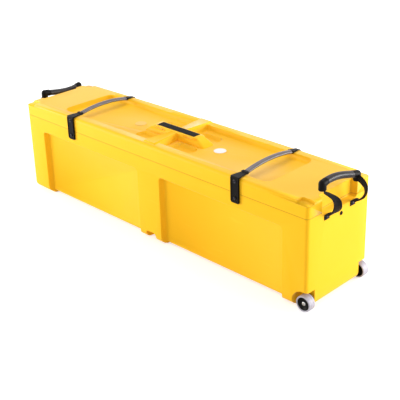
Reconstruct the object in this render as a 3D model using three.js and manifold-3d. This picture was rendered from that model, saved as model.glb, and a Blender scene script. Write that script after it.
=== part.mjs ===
// Drum hardware case: a long moulded tub and its hinged lid, two sleeved straps that latch
// over the lid, a webbing handle on each end and a pair of wheels under one end.
// Millimetres. +X points to the wheeled end, -Y is the front, +Z is up and z = 0 is the ground.

import * as THREE from 'three';
import { mergeVertices } from 'three/addons/utils/BufferGeometryUtils.js';
import Module from 'manifold-3d';

const wasm = await Module();
wasm.setup();

// Case sizes
const caseLength = 1390;
const caseDepth = 308;
const tubHeight = 309;
const lidHeight = 49;
const lidCrown = 5.5;
const groundGap = 7.5;
const wall = 5;
const cornerRadius = 12;
const tubEdgeRadius = 22;
const lidEdgeRadius = 11;
const fit = 0.3;
const overrun = 6;

// Recessed panels of the long sides, between the end posts and the centre post
const endPostWidth = 95;
const centrePostWidth = 108;
const panelDepth = 20;
const panelTopDrop = 51;
const panelBlend = 9;
const panelRadius = 14;
const panelFootRadius = 15;

// Notch in the foot of each centre post, and the moulded feet of the plain end
const notchWidth = 50;
const notchHeight = 30;
const notchDepth = 40;
const notchBlend = 4;
const footLength = 84;
const footWidth = 62;
const footInset = 21;

// Alcoves of the end faces, behind the handles
const alcoveWidth = 176;
const alcoveDepth = 20;
const alcoveDrop = 11;
const alcoveBlend = 8;
const alcoveRadius = 14;

// Dished top of the lid
const dishEndMargin = 186;
const dishRimWidth = 37;
const dishDepth = 17;
const dishBlend = 9;
const dishRadius = 28;

// Stacking steps at the lid's four top corners
const stepLength = 49;
const stepWidth = 34.5;
const stepDepth = 9;
const stepBlend = 3;

// Moulded hand grip in the middle of the lid, with four finger pockets round it
const barLength = 210;
const barWidth = 41;
const barFootLength = 300;
const barFootWidth = 58;
const barRise = 8.5;
const armWidthAtBar = 20;
const armWidthAtRim = 49;
const armFlare = 26;
const armRise = 5.6;
const armEndSlope = 10;
const pocketLength = 136;
const pocketWidth = 88;
const pocketGapX = 44;
const pocketGapY = 36;
const pocketDepth = 11;
const pocketBlend = 34;
const pocketRadius = 38;

// Tongue under the lid's edge, inside the tub's rim
const tongueDepth = 8;
const tongueThickness = 4;
const tongueClearance = 0.8;
const tongueRoot = 6;

// Label plate and the two round badges, all left blank
const labelLength = 184;
const labelWidth = 31;
const labelThickness = 1.2;
const badgeRadius = 21.5;
const badgeThickness = 1;
const badgeSpacing = 398;

// Straps over the lid
const strapEndInset = 283;
const strapWidth = 34;
const strapShoulder = 9.5;
const strapNeck = 23;
const strapThickness = 5;
const strapRib = 2;
const strapRibWidth = 3.5;
const strapCorner = 5;
const strapBelowSeam = 33;
const strapStandOff = 0.6;
const collarLength = 10;
const collarHeight = 9;
const collarLift = 4.2;
const sleeveFrontMargin = 48.5;
const sleeveRearMargin = 44;
const sleeveWidth = 20;
const sleeveHeight = 13;
const sleeveWall = 2.4;
const sleeveLift = 3;
const sleeveArch = 11.2;
const webbingWidth = 13;
const webbingThickness = 3;
const rearEndWidth = 21;
const rearTipWidth = 17;
const rearEndRise = 8.5;
const rearEndDrop = 2.5;
const rearBandThickness = 2.6;
const rearBandDrop = 3;
const rearRimClearance = 0.7;

// Latch studs under the strap tabs
const studRadius = 6;
const studHeight = 8.4;
const studDrop = 16;
const studHole = 7.7;
const eyeletRadius = 6.5;
const eyeletHole = 2.4;
const eyeletHeight = 1.8;
const eyeletBelowTop = 7.5;

// Rear hinge tabs
const hingeTabWidth = 38;
const hingeTabThickness = 3;
const hingeTabDrop = 38;
const hingeTabCorner = 5;

// Rivets
const rivetHeadRadius = 5.6;
const rivetHeadHeight = 1.8;
const rivetShankRadius = 2.2;
const rivetTailHeight = 1.4;

// End handles
const anchorSpacing = 129;
const anchorDrop = 22.5;
const handleStandOff = 15.5;
const webWidth = 25;
const webThickness = 2.4;
const footPlateHeight = 26;
const footTail = 8;
const hingeStandOff = 18;
const hingeRise = 14.5;
const hingeEndGap = 1.9;
const legInset = 6.5;
const gripRadius = 11.5;
const gripCollarRadius = 12.8;
const barrelDrop = 20.5;
const shortSocket = 16;
const longSocket = 25;
const shortEndBulge = 58;
const longEndBulge = 52;
const rightGrip = { span: 170, rise: 116, tilt: 13, arch: 11.2, sway: -25 };
const leftGrip = { span: 170, rise: 74, tilt: -4.7, arch: -9.4, sway: -29 };

// Vent plug of the wheeled end
const ventRadius = 6.5;
const ventHeight = 2.4;
const ventDrop = 35.5;
const ventOffset = 7.5;
const ventShankRadius = 3.4;

// Wheels
const wheelRadius = 27;
const wheelWidth = 28;
const wheelEndInset = 14;
const wheelFaceInset = 1;
const wellRadius = 42.5;
const wellDepth = 41;
const tyreThickness = 5;
const tyreShoulder = 3;
const hubDish = 4;
const hubDishRadius = 16.5;
const hubCoreRadius = 10;
const axleRadius = 4;
const axleHeadRadius = 6.6;
const axleHeadHeight = 3;
const nutRadius = 6.8;
const nutHeight = 6.5;
const spacerRadius = 8;

// Places worked out from the sizes
const halfLength = caseLength / 2;
const halfDepth = caseDepth / 2;
const tubFloor = groundGap;
const seam = tubFloor + tubHeight;
const lidTop = seam + lidHeight;
const dishFloor = lidTop - dishDepth;
const panelHalf = (halfLength - endPostWidth - centrePostWidth / 2) / 2;
const panelCentre = centrePostWidth / 2 + panelHalf;
const strapX = halfLength - strapEndInset;
const hingeY = halfDepth + hingeTabThickness + 2 * fit;
const wheelX = halfLength - wheelEndInset;
const wheelY = halfDepth - wheelFaceInset - wheelWidth / 2;

// Steps and shares of the curves
const cornerSteps = 4;
const edgeSteps = 4;
const crownSteps = 8;
const roundSegments = 12;
const wheelSegments = 28;
const nutSides = 6;
const gripRings = 12;
const sleeveRings = 14;
const archLeanShare = 0.5;
const collarFlatShare = 0.92;
const flankShares = [[1, 1], [0.78, 0.92], [0.5, 0.55], [0.22, 0.12], [0, 0]];
const legShares = [
  [0, 0, 0],
  [0.48, 0.2, 0.12],
  [0.86, 0.44, 0.42],
  [1, 0.66, 0.7],
  [0.8, 0.8, 0.82],
  [0.4, 0.87, 0.9],
  [0.08, 0.92, 0.98],
  [0, 0.965, 1],
  [0, 1, 1],
];
const legTurns = {
  short: [0, 0, -2, -9, -20, -32, -40, -45, -45],
  long: [0, 16, 36, 45, 50, 62, 76, 85, 85],
};
const roundedEndShares = [[0.94, 0.34], [0.7, 0.71], [0.34, 0.94]];
const barShares = [[1, 0], [0.86, 0.3], [0.3, 0.72], [0.08, 0.94], [0, 1]];
const armShares = [[1, 0], [0.5, 0.6], [0.12, 0.92], [0, 1]];
const sleeveShares = [0, 1 / 6, 1 / 3, 1 / 2, 2 / 3, 5 / 6, 1];
const rivetTailShare = 0.8;
const rivetDomeShares = [[0.9, 0.6], [0.5, 1]];
const eyeletDomeShares = [[0.9, 0.7], [0.7, 1]];
const eyeletLipShares = [0.8, 0.6];
const eyeletTailShare = 0.6;
const capShare = 0.7;
const collarLipShare = 0.125;

// Colours
const paint = (color, roughness, metalness = 0) =>
  new THREE.MeshStandardMaterial({ color, roughness, metalness });
const yellowPlastic = paint(0xffc814, 0.45);
const blackPlastic = paint(0x141316, 0.5);
const blackWebbing = paint(0x1b1a1d, 0.9);
const greySleeve = paint(0x6b6166, 0.25);
const blackRubber = paint(0x101012, 0.7);
const steel = paint(0xb9bbc0, 0.3, 1);
const greyTyre = paint(0xc4c2cc, 0.6);
const labelBlack = paint(0x0d0d0d, 0.4);
const badgeWhite = paint(0xf4f4f2, 0.4);

// Height that the crown adds to the lid's top at a place along the case
function lidRise(x) {
  return lidCrown * (1 - (x / halfLength) ** 2);
}

// Outline of a rounded rectangle: the front half from left to right, then its mirror image back
function outline(halfX, halfY, radius, steps) {
  const bend = Math.max(Math.min(radius, halfX, halfY), fit);
  const front = [];
  for (let i = 0; i <= cornerSteps; i += 1) {
    const turn = Math.PI + (Math.PI / 2) * (i / cornerSteps);
    front.push([bend - halfX + bend * Math.cos(turn), bend - halfY + bend * Math.sin(turn)]);
  }
  for (let i = 1; i < steps; i += 1) {
    front.push([THREE.MathUtils.lerp(bend - halfX, halfX - bend, i / steps), -halfY]);
  }
  for (let i = 0; i <= cornerSteps; i += 1) {
    const turn = (Math.PI / 2) * (3 + i / cornerSteps);
    front.push([halfX - bend + bend * Math.cos(turn), bend - halfY + bend * Math.sin(turn)]);
  }
  const back = front.map(([x, y]) => [x, -y]).reverse();
  return [...front, ...back];
}

// One level of a lofted solid
function level(halfX, halfY, radius, z, steps = 1) {
  return outline(halfX, halfY, radius, steps).map(([x, y]) => new THREE.Vector3(x, y, z));
}

// Closed solid through a stack of levels, from the lowest to the highest
function loft(levels) {
  const count = levels[0].length;
  const positions = levels.flat().flatMap((point) => point.toArray());
  const index = [];
  for (let ring = 0; ring < levels.length - 1; ring += 1) {
    for (let i = 0; i < count; i += 1) {
      const a = ring * count + i;
      const b = ring * count + ((i + 1) % count);
      index.push(a, b, b + count, a, b + count, a + count);
    }
  }
  const top = (levels.length - 1) * count;
  for (let i = 0; i < count / 2 - 1; i += 1) {
    const across = count - 1 - i;
    index.push(i, across, across - 1, i, across - 1, i + 1);
    index.push(top + i, top + i + 1, top + across - 1, top + i, top + across - 1, top + across);
  }
  const geometry = new THREE.BufferGeometry();
  geometry.setAttribute('position', new THREE.Float32BufferAttribute(positions, 3));
  geometry.setIndex(index);
  return geometry;
}

// Levels of a block with rounded lower or upper edges
function block({ halfX, halfY, radius, bottom, top, lowerEdge = 0, upperEdge = 0, steps = 1 }) {
  const levels = [];
  const lowerCount = lowerEdge > 0 ? edgeSteps : 0;
  const upperCount = upperEdge > 0 ? edgeSteps : 0;
  for (let i = 0; i <= lowerCount; i += 1) {
    const turn = lowerCount ? (Math.PI / 2) * (i / lowerCount) : 0;
    const inset = lowerEdge * (1 - Math.sin(turn));
    const z = bottom + lowerEdge * (1 - Math.cos(turn));
    levels.push(level(halfX - inset, halfY - inset, radius - inset, z, steps));
  }
  for (let i = upperCount; i >= 0; i -= 1) {
    const turn = upperCount ? (Math.PI / 2) * (i / upperCount) : 0;
    const inset = upperEdge * (1 - Math.sin(turn));
    const z = top - upperEdge * (1 - Math.cos(turn));
    levels.push(level(halfX - inset, halfY - inset, radius - inset, z, steps));
  }
  return loft(levels);
}

// Frames of the faces: u and v lie in the face and w points out of it
function frameOf(u, v, w, origin) {
  return new THREE.Matrix4().makeBasis(u, v, w).setPosition(origin);
}
const axisX = new THREE.Vector3(1, 0, 0);
const axisY = new THREE.Vector3(0, 1, 0);
const axisZ = new THREE.Vector3(0, 0, 1);
const frontFace = frameOf(axisX, axisZ, axisY.clone().negate(), new THREE.Vector3(0, -halfDepth, 0));
const rearFace = frameOf(axisX.clone().negate(), axisZ, axisY, new THREE.Vector3(0, halfDepth, 0));
const rightFace = frameOf(axisY, axisZ, axisX, new THREE.Vector3(halfLength, 0, 0));
const leftFace = frameOf(
  axisY.clone().negate(),
  axisZ,
  axisX.clone().negate(),
  new THREE.Vector3(-halfLength, 0, 0),
);
const topFace = frameOf(axisX, axisY, axisZ, new THREE.Vector3(0, 0, lidTop));

// Soft-edged recess in a face; grow is the wall that a shell keeps behind it
function recess(face, shape, grow = 0, steps = 1) {
  const { u, v, halfU, halfV, radius, depth, blend } = shape;
  const levels = flankShares.map(([across, down]) => {
    const inset = blend * across - grow;
    return level(halfU - inset, halfV - inset, radius - inset, -depth * down - grow, steps);
  });
  levels.push(level(halfU + grow, halfV + grow, radius + grow, overrun, steps));
  return loft(levels).translate(u, v, 0).applyMatrix4(face);
}

// Lifts the lid's surfaces by the crown, in full at its top and not at all at the seam
function liftAt(x, z) {
  return lidRise(x) * THREE.MathUtils.clamp((z - seam) / lidHeight, 0, 1);
}

function crowned(geometry) {
  const position = geometry.getAttribute('position');
  for (let i = 0; i < position.count; i += 1) {
    const z = position.getZ(i);
    position.setZ(i, z + liftAt(position.getX(i), z));
  }
  return geometry;
}

// Closed mesh to solid, and back
function solid(geometry) {
  const bare = geometry.clone();
  bare.deleteAttribute('normal');
  bare.deleteAttribute('uv');
  const merged = mergeVertices(bare);
  const mesh = new wasm.Mesh({
    numProp: 3,
    vertProperties: Float32Array.from(merged.getAttribute('position').array),
    triVerts: Uint32Array.from(merged.getIndex().array),
  });
  return new wasm.Manifold(mesh);
}

function geometryOf(manifold) {
  const mesh = manifold.getMesh();
  const geometry = new THREE.BufferGeometry();
  geometry.setAttribute('position', new THREE.Float32BufferAttribute(mesh.vertProperties, 3));
  geometry.setIndex(Array.from(mesh.triVerts));
  return geometry;
}

function cut(body, cutters) {
  return cutters.reduce((rest, cutter) => rest.subtract(solid(cutter)), body);
}

// Round bar along a face's normal, for shank holes
function holeIn(face, u, v, radius, depth) {
  const length = depth + overrun;
  const bore = new THREE.CylinderGeometry(radius, radius, length, roundSegments);
  bore.rotateX(Math.PI / 2).translate(u, v, overrun - length / 2);
  return bore.applyMatrix4(face);
}

// Panels, alcoves and the notches under the centre posts
const panelTop = seam - panelTopDrop;
const panelShape = (side) => ({
  u: side * panelCentre,
  v: (panelTop - panelTopDrop) / 2,
  halfU: panelHalf,
  halfV: (panelTop + panelTopDrop) / 2,
  radius: panelRadius,
  depth: panelDepth,
  blend: panelBlend,
});
const alcoveShape = {
  u: 0,
  v: lidTop,
  halfU: alcoveWidth / 2,
  halfV: lidHeight + alcoveDrop,
  radius: alcoveRadius,
  depth: alcoveDepth,
  blend: alcoveBlend,
};
const notchShape = {
  u: 0,
  v: tubFloor,
  halfU: notchWidth / 2,
  halfV: notchHeight,
  radius: notchWidth / 4,
  depth: notchDepth,
  blend: notchBlend,
};

// Rounds the lower edge of a panel: what lies outside the arc goes
function panelFoot(side, turned, grow) {
  const centreY = panelDepth + panelFootRadius - halfDepth;
  const centreZ = tubFloor + panelFootRadius;
  const radius = panelFootRadius - grow;
  const reach = panelFootRadius + panelDepth + overrun;
  const shape = new THREE.Shape();
  shape.moveTo(centreY, centreZ - radius);
  shape.absarc(centreY, centreZ, radius, -Math.PI / 2, -Math.PI, true);
  shape.lineTo(centreY - reach, centreZ);
  shape.lineTo(centreY - reach, centreZ - reach);
  shape.lineTo(centreY, centreZ - reach);
  const length = 2 * (panelHalf - panelBlend + grow);
  const bar = new THREE.ExtrudeGeometry(shape, {
    depth: length,
    bevelEnabled: false,
    curveSegments: edgeSteps,
  });
  bar.translate(0, 0, side * panelCentre - length / 2);
  bar.applyMatrix4(frameOf(axisY, axisZ, axisX, new THREE.Vector3()));
  return turned ? bar.rotateZ(Math.PI) : bar;
}

// Round wheel well in a lower corner of the wheeled end
function wheelWell(side, grow) {
  const length = wellDepth + overrun + grow;
  const well = new THREE.CylinderGeometry(
    wellRadius + grow,
    wellRadius + grow,
    length,
    wheelSegments,
  );
  const centre = halfDepth - wellDepth - grow + length / 2;
  return well.translate(wheelX, side * centre, wheelRadius);
}

// The tub as a filled body, drawn in by one wall for its inside
function tubBody(inset) {
  const top = inset > 0 ? seam + overrun : seam - fit / 2;
  const body = block({
    halfX: halfLength - inset,
    halfY: halfDepth - inset,
    radius: cornerRadius - inset,
    bottom: tubFloor + inset,
    top,
    lowerEdge: tubEdgeRadius - inset,
  });
  const cutters = [];
  for (const side of [-1, 1]) {
    cutters.push(recess(frontFace, panelShape(side), inset));
    cutters.push(recess(rearFace, panelShape(side), inset));
    cutters.push(panelFoot(side, false, inset));
    cutters.push(panelFoot(side, true, inset));
    cutters.push(wheelWell(side, inset));
  }
  cutters.push(recess(rightFace, alcoveShape, inset), recess(leftFace, alcoveShape, inset));
  cutters.push(recess(frontFace, notchShape, inset), recess(rearFace, notchShape, inset));
  return cut(solid(body), cutters);
}

// Moulded feet that level the plain end with the wheels
function tubFeet() {
  return [-1, 1].map((side) => {
    const foot = block({
      halfX: footLength / 2,
      halfY: footWidth / 2,
      radius: cornerRadius,
      bottom: 0,
      top: tubFloor + wall / 2,
      lowerEdge: groundGap / 2,
    });
    const x = footInset + footLength / 2 - halfLength;
    return foot.translate(x, side * (halfDepth - footInset - footWidth / 2), 0);
  });
}

// Heights on the end faces and the rear face where things are riveted
const anchorZ = seam - anchorDrop;
const studZ = seam - studDrop;
const eyeletZ = lidTop - eyeletBelowTop;
const lowerRivetZ = seam - hingeTabDrop / 2;
const hingeRivetsU = [-1, 1].map((end) => end * hingeTabWidth / 4);
const upperRivetZ = seam + lidHeight / 2;

function makeTub() {
  const shell = tubFeet().reduce((body, foot) => body.add(solid(foot)), tubBody(0));
  const holes = [];
  const depth = wall * 2;
  for (const side of [-1, 1]) {
    holes.push(holeIn(frontFace, side * strapX, studZ, rivetShankRadius + fit, depth));
    for (const u of hingeRivetsU) {
      const at = side * strapX + u;
      holes.push(holeIn(rearFace, at, lowerRivetZ, rivetShankRadius + fit, depth));
    }
    for (const face of [rightFace, leftFace]) {
      const u = side * (anchorSpacing / 2);
      holes.push(holeIn(face, u, anchorZ, rivetShankRadius + fit, depth));
    }
    const bore = new THREE.CylinderGeometry(
      axleRadius + fit,
      axleRadius + fit,
      wellDepth,
      roundSegments,
    );
    holes.push(bore.translate(wheelX, side * (halfDepth - wellDepth), wheelRadius));
  }
  holes.push(holeIn(rightFace, ventOffset, seam - ventDrop, ventShankRadius + fit, depth));
  return geometryOf(cut(shell.subtract(tubBody(wall)), holes));
}

// Dish, corner steps and finger pockets of the lid
const dishShape = {
  u: 0,
  v: 0,
  halfU: halfLength - dishEndMargin,
  halfV: halfDepth - dishRimWidth,
  radius: dishRadius,
  depth: dishDepth,
  blend: dishBlend,
};
const stepShape = (sideX, sideY) => ({
  u: sideX * halfLength,
  v: sideY * halfDepth,
  halfU: stepLength,
  halfV: stepWidth,
  radius: stepWidth / 3,
  depth: stepDepth,
  blend: stepBlend,
});
const pocketShape = (sideX, sideY) => ({
  u: sideX * (pocketGapX + pocketLength) / 2,
  v: sideY * (pocketGapY + pocketWidth) / 2,
  halfU: pocketLength / 2,
  halfV: pocketWidth / 2,
  radius: pocketRadius,
  depth: dishDepth + pocketDepth,
  blend: pocketBlend,
});

// Raised bar of the hand grip: its ends and flanks slope down to the dish
function gripBar(inset) {
  const top = lidTop + barRise - inset;
  const root = dishFloor - wall - inset;
  return loft(barShares.map(([spread, height]) => {
    const halfX = THREE.MathUtils.lerp(barLength, barFootLength, spread) / 2 - inset;
    const halfY = THREE.MathUtils.lerp(barWidth, barFootWidth, spread) / 2 - inset;
    return level(halfX, halfY, barWidth / 4, THREE.MathUtils.lerp(root, top, height));
  }));
}

// Arm of the hand grip: narrow at the bar, wide at the rim
function gripArm(side, inset) {
  const top = lidTop + armRise - inset;
  const root = dishFloor - wall - inset;
  const reach = halfDepth - lidEdgeRadius / 2 - inset;
  return loft(armShares.map(([spread, height]) => {
    const atRim = (armWidthAtRim + armFlare * spread) / 2 - inset;
    const atBar = (armWidthAtBar + armFlare * spread) / 2 - inset;
    const z = THREE.MathUtils.lerp(root, top, height);
    const end = armEndSlope * (1 - spread) - reach;
    const corners = [[-atRim, end], [atRim, end], [atBar, 0], [-atBar, 0]];
    return corners.map(([x, y]) => new THREE.Vector3(x, y, z));
  })).rotateZ(side > 0 ? Math.PI : 0);
}

// The lid as a filled body, drawn in by one wall for its inside
function lidBody(inset) {
  const bottom = inset > 0 ? seam - tongueDepth - overrun : seam + fit / 2;
  const body = crowned(block({
    halfX: halfLength - inset,
    halfY: halfDepth - inset,
    radius: cornerRadius - inset,
    bottom,
    top: lidTop - inset,
    upperEdge: lidEdgeRadius - inset / 2,
    steps: crownSteps,
  }));
  const dish = crowned(recess(topFace, dishShape, inset, crownSteps));
  const corners = [];
  const pockets = [];
  for (const sideX of [-1, 1]) {
    for (const sideY of [-1, 1]) {
      corners.push(recess(topFace, stepShape(sideX, sideY), inset));
      pockets.push(crowned(recess(topFace, pocketShape(sideX, sideY), inset)));
    }
  }
  const alcoves = [recess(rightFace, alcoveShape, inset), recess(leftFace, alcoveShape, inset)];
  const dished = cut(solid(body), [dish, ...corners, ...alcoves]);
  const grip = [gripBar(inset), gripArm(-1, inset), gripArm(1, inset)];
  const gripped = grip.reduce((rest, piece) => rest.add(solid(crowned(piece))), dished);
  return cut(gripped, pockets);
}

// Plain body of the rim with the alcoves taken out, for the tongue
function rimBody(inset, bottom, top) {
  const body = block({
    halfX: halfLength - inset,
    halfY: halfDepth - inset,
    radius: cornerRadius - inset,
    bottom,
    top,
  });
  return cut(solid(body), [
    recess(rightFace, alcoveShape, inset),
    recess(leftFace, alcoveShape, inset),
  ]);
}

function makeLid() {
  const outer = wall + tongueClearance;
  const inner = outer + tongueThickness;
  const root = seam + tongueRoot;
  const core = rimBody(inner, seam - tongueDepth - overrun, root + overrun);
  const tongue = rimBody(outer, seam - tongueDepth, root).subtract(core);
  const ledge = rimBody(wall / 2, seam + fit / 2, root).subtract(core);
  const endGap = alcoveWidth + 4 * inner;
  const clear = box(2 * caseLength, endGap, 4 * tongueDepth, 0, 0, seam - 2 * tongueDepth);
  const sides = tongue.subtract(solid(clear));
  const shell = lidBody(0).subtract(lidBody(wall)).add(sides).add(ledge);
  const holes = [-1, 1].flatMap((side) => hingeRivetsU.map((u) =>
    holeIn(rearFace, side * strapX + u, upperRivetZ, rivetShankRadius + fit, wall * 2)));
  return geometryOf(cut(shell, holes));
}

// Turned piece: the profile of radius and height closes on itself, with its axis along Z
function turned(profile, segments = roundSegments) {
  const points = [...profile, profile[0]].map(([radius, height]) => new THREE.Vector2(radius, height));
  return new THREE.LatheGeometry(points, segments).rotateX(Math.PI / 2);
}

// Rivet standing on a stack: the head lies above w = 0 and the tail below the stack
function rivet(stack) {
  const tail = -stack - 2 * fit;
  return turned([
    [0, tail - rivetTailHeight],
    [rivetHeadRadius * rivetTailShare, tail - rivetTailHeight],
    [rivetHeadRadius * rivetTailShare, tail],
    [rivetShankRadius, tail],
    [rivetShankRadius, 0],
    [rivetHeadRadius, 0],
    ...rivetDomeShares.map(([out, up]) => [rivetHeadRadius * out, rivetHeadHeight * up]),
    [0, rivetHeadHeight],
  ]);
}

// Stud for a strap tab: a plain round boss with a chamfered end
function latchStud() {
  const tail = -wall - 2 * fit;
  const chamfer = studRadius / 4;
  return turned([
    [0, tail - rivetTailHeight],
    [rivetHeadRadius, tail - rivetTailHeight],
    [rivetHeadRadius, tail],
    [rivetShankRadius, tail],
    [rivetShankRadius, 0],
    [studRadius, 0],
    [studRadius, studHeight - chamfer],
    [studRadius - chamfer, studHeight],
    [0, studHeight],
  ]);
}

function ventPlug() {
  const tail = -wall - 2 * fit;
  return turned([
    [0, tail - rivetTailHeight],
    [ventShankRadius + 2 * fit, tail - rivetTailHeight],
    [ventShankRadius, tail],
    [ventShankRadius, 0],
    [ventRadius, 0],
    [ventRadius, ventHeight / 2],
    [ventRadius * capShare, ventHeight],
    [0, ventHeight],
  ]);
}

// Flat band along a route in the XZ plane, its width along Y; sway moves it sideways as it goes
function band(route, width, thickness) {
  const levels = route.map(([x, z, sway, share = 1], i) => {
    const [beforeX, beforeZ] = route[Math.max(i - 1, 0)];
    const [afterX, afterZ] = route[Math.min(i + 1, route.length - 1)];
    const normal = new THREE.Vector2(beforeZ - afterZ, afterX - beforeX)
      .setLength(share * thickness / 2);
    return [[-1, -1], [-1, 1], [1, 1], [1, -1]].map(([side, across]) => new THREE.Vector3(
      x + side * normal.x,
      sway + across * width / 2,
      z + side * normal.y,
    ));
  });
  return loft(levels);
}

// Straight-edged plate from an outline of corners with small rounds, extruded along w
function plate(width, height, radius, thickness, holes = []) {
  const shape = new THREE.Shape();
  const flat = outline(width / 2, height / 2, radius, 1);
  shape.setFromPoints(flat.map(([x, y]) => new THREE.Vector2(x, y)));
  for (const [u, v, holeRadius] of holes) {
    const bore = new THREE.Path();
    bore.absarc(u, v, holeRadius, 0, 2 * Math.PI, true);
    shape.holes.push(bore);
  }
  return new THREE.ExtrudeGeometry(shape, {
    depth: thickness,
    bevelEnabled: false,
    curveSegments: roundSegments,
  });
}

function box(sizeX, sizeY, sizeZ, x, y, z) {
  return new THREE.BoxGeometry(sizeX, sizeY, sizeZ).translate(x, y, z);
}

// The group and its parts
const group = new THREE.Group();

function addPart(name, geometry, material, parent = group) {
  const mesh = new THREE.Mesh(geometry, material);
  mesh.name = name;
  parent.add(mesh);
  return mesh;
}

addPart('tub_shell', makeTub(), yellowPlastic);
addPart('lid_shell', makeLid(), yellowPlastic);

// Blank label plate on the hand grip, and the blank badges beside it
function addLidTrim() {
  const label = plate(labelLength, labelWidth, labelThickness, labelThickness);
  addPart('lid_label_plate', label, labelBlack)
    .position.set(0, 0, lidTop + barRise + lidRise(0) + fit);
  for (const [name, side] of [['left', -1], ['right', 1]]) {
    const x = side * badgeSpacing / 2;
    const badge = new THREE.CylinderGeometry(
      badgeRadius,
      badgeRadius,
      badgeThickness,
      2 * roundSegments,
    ).rotateX(Math.PI / 2);
    const z = dishFloor + liftAt(x, dishFloor) + badgeThickness / 2 + fit;
    addPart(`lid_badge_${name}`, badge, badgeWhite).position.set(x, 0, z);
  }
}

// Height of the lid's rim under a strap
const rimZ = lidTop + lidRise(strapX);
const sleeveFrontY = sleeveFrontMargin - halfDepth;
const sleeveRearY = halfDepth - sleeveRearMargin;
const strapAxisY = halfDepth + rearRimClearance + rearBandThickness / 2;
const strapAxisZ = rimZ - lidEdgeRadius - rearBandDrop;

// Front tab of a strap: it hangs over the front rim and its hole takes the stud
function frontTab() {
  const bottom = seam - strapBelowSeam;
  const top = rimZ + strapStandOff + strapThickness;
  const height = top - bottom;
  const middle = (top + bottom) / 2;
  const holes = [[0, studZ - middle, studHole], [0, eyeletZ - middle, eyeletHole + fit]];
  const face = frameOf(
    axisX,
    axisZ,
    axisY.clone().negate(),
    new THREE.Vector3(0, -halfDepth - strapStandOff, middle),
  );
  const leg = plate(strapWidth, height, strapCorner, strapThickness, holes).applyMatrix4(face);
  const frontY = -halfDepth - strapStandOff - strapThickness;
  const rearY = sleeveFrontY - fit;
  const neckY = dishRimWidth - halfDepth;
  const shape = new THREE.Shape([
    new THREE.Vector2(-strapWidth / 2, frontY),
    new THREE.Vector2(strapWidth / 2, frontY),
    new THREE.Vector2(strapWidth / 2, frontY + strapShoulder),
    new THREE.Vector2(strapNeck / 2, neckY),
    new THREE.Vector2(strapNeck / 2, rearY),
    new THREE.Vector2(-strapNeck / 2, rearY),
    new THREE.Vector2(-strapNeck / 2, neckY),
    new THREE.Vector2(-strapWidth / 2, frontY + strapShoulder),
  ]);
  const arm = new THREE.ExtrudeGeometry(shape, { depth: strapThickness, bevelEnabled: false });
  arm.translate(0, 0, rimZ + strapStandOff);
  const collar = box(
    strapNeck,
    collarLength,
    collarHeight,
    0,
    rearY - collarLength / 2,
    rimZ + collarLift,
  );
  const ribs = [-1, 1].map((side) => box(
    strapRibWidth,
    strapRib + strapThickness / 2,
    height - 2 * strapCorner,
    side * (strapWidth - strapRibWidth) / 2,
    frontY + strapThickness / 4 - strapRib / 2,
    middle,
  ));
  const pieces = [arm, collar, ...ribs];
  return geometryOf(pieces.reduce((rest, piece) => rest.add(solid(piece)), solid(leg)));
}

function eyelet() {
  return turned([
    [eyeletHole, -strapThickness],
    [eyeletHole, 0],
    [eyeletRadius, 0],
    ...eyeletDomeShares.map(([out, up]) => [eyeletRadius * out, eyeletHeight * up]),
    [eyeletHole * eyeletLipShares[0], eyeletHeight * eyeletLipShares[1]],
    [eyeletHole * eyeletTailShare, -strapThickness],
  ]);
}

// Arched route of a sleeve and its webbing, at the strap's own x
function sleeveRoute(startY, endY, rise) {
  const reach = (sleeveRearY - sleeveFrontY) / 2;
  const middle = (sleeveRearY + sleeveFrontY) / 2;
  const points = sleeveShares.map((share) => {
    const y = THREE.MathUtils.lerp(startY, endY, share);
    const height = sleeveArch * (1 - ((y - middle) / reach) ** 2);
    return new THREE.Vector3(0, y, rise + height);
  });
  return new THREE.CatmullRomCurve3(points);
}

// Oval tube or bar along a route, from its half sizes across and up; its sections stay upright
function sweptOval(route, halfAcross, halfUp, hollow) {
  const segments = roundSegments;
  const levels = [];
  const ringAt = (share, across, up) => {
    const centre = route.getPoint(share);
    return Array.from({ length: segments }, (_, i) => {
      const turn = (2 * Math.PI * i) / segments;
      return centre.clone()
        .addScaledVector(axisX, across * Math.cos(turn))
        .addScaledVector(axisZ, up * Math.sin(turn));
    });
  };
  for (let i = 0; i <= sleeveRings; i += 1) {
    levels.push(ringAt(i / sleeveRings, halfAcross, halfUp));
  }
  if (hollow > 0) {
    for (let i = sleeveRings; i >= 0; i -= 1) {
      levels.push(ringAt(i / sleeveRings, halfAcross - hollow, halfUp - hollow));
    }
    return ringTube(levels);
  }
  return loft(levels.map((ring) => ring.slice().reverse()));
}

// Tube whose levels run out along its outside and back along its inside
function ringTube(levels) {
  const count = levels[0].length;
  const positions = levels.flat().flatMap((point) => point.toArray());
  const index = [];
  for (let ring = 0; ring < levels.length; ring += 1) {
    const next = (ring + 1) % levels.length;
    for (let i = 0; i < count; i += 1) {
      const j = (i + 1) % count;
      const [a, b] = [ring * count + i, ring * count + j];
      const [c, d] = [next * count + j, next * count + i];
      index.push(a, c, b, a, d, c);
    }
  }
  const geometry = new THREE.BufferGeometry();
  geometry.setAttribute('position', new THREE.Float32BufferAttribute(positions, 3));
  geometry.setIndex(index);
  return geometry;
}

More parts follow.
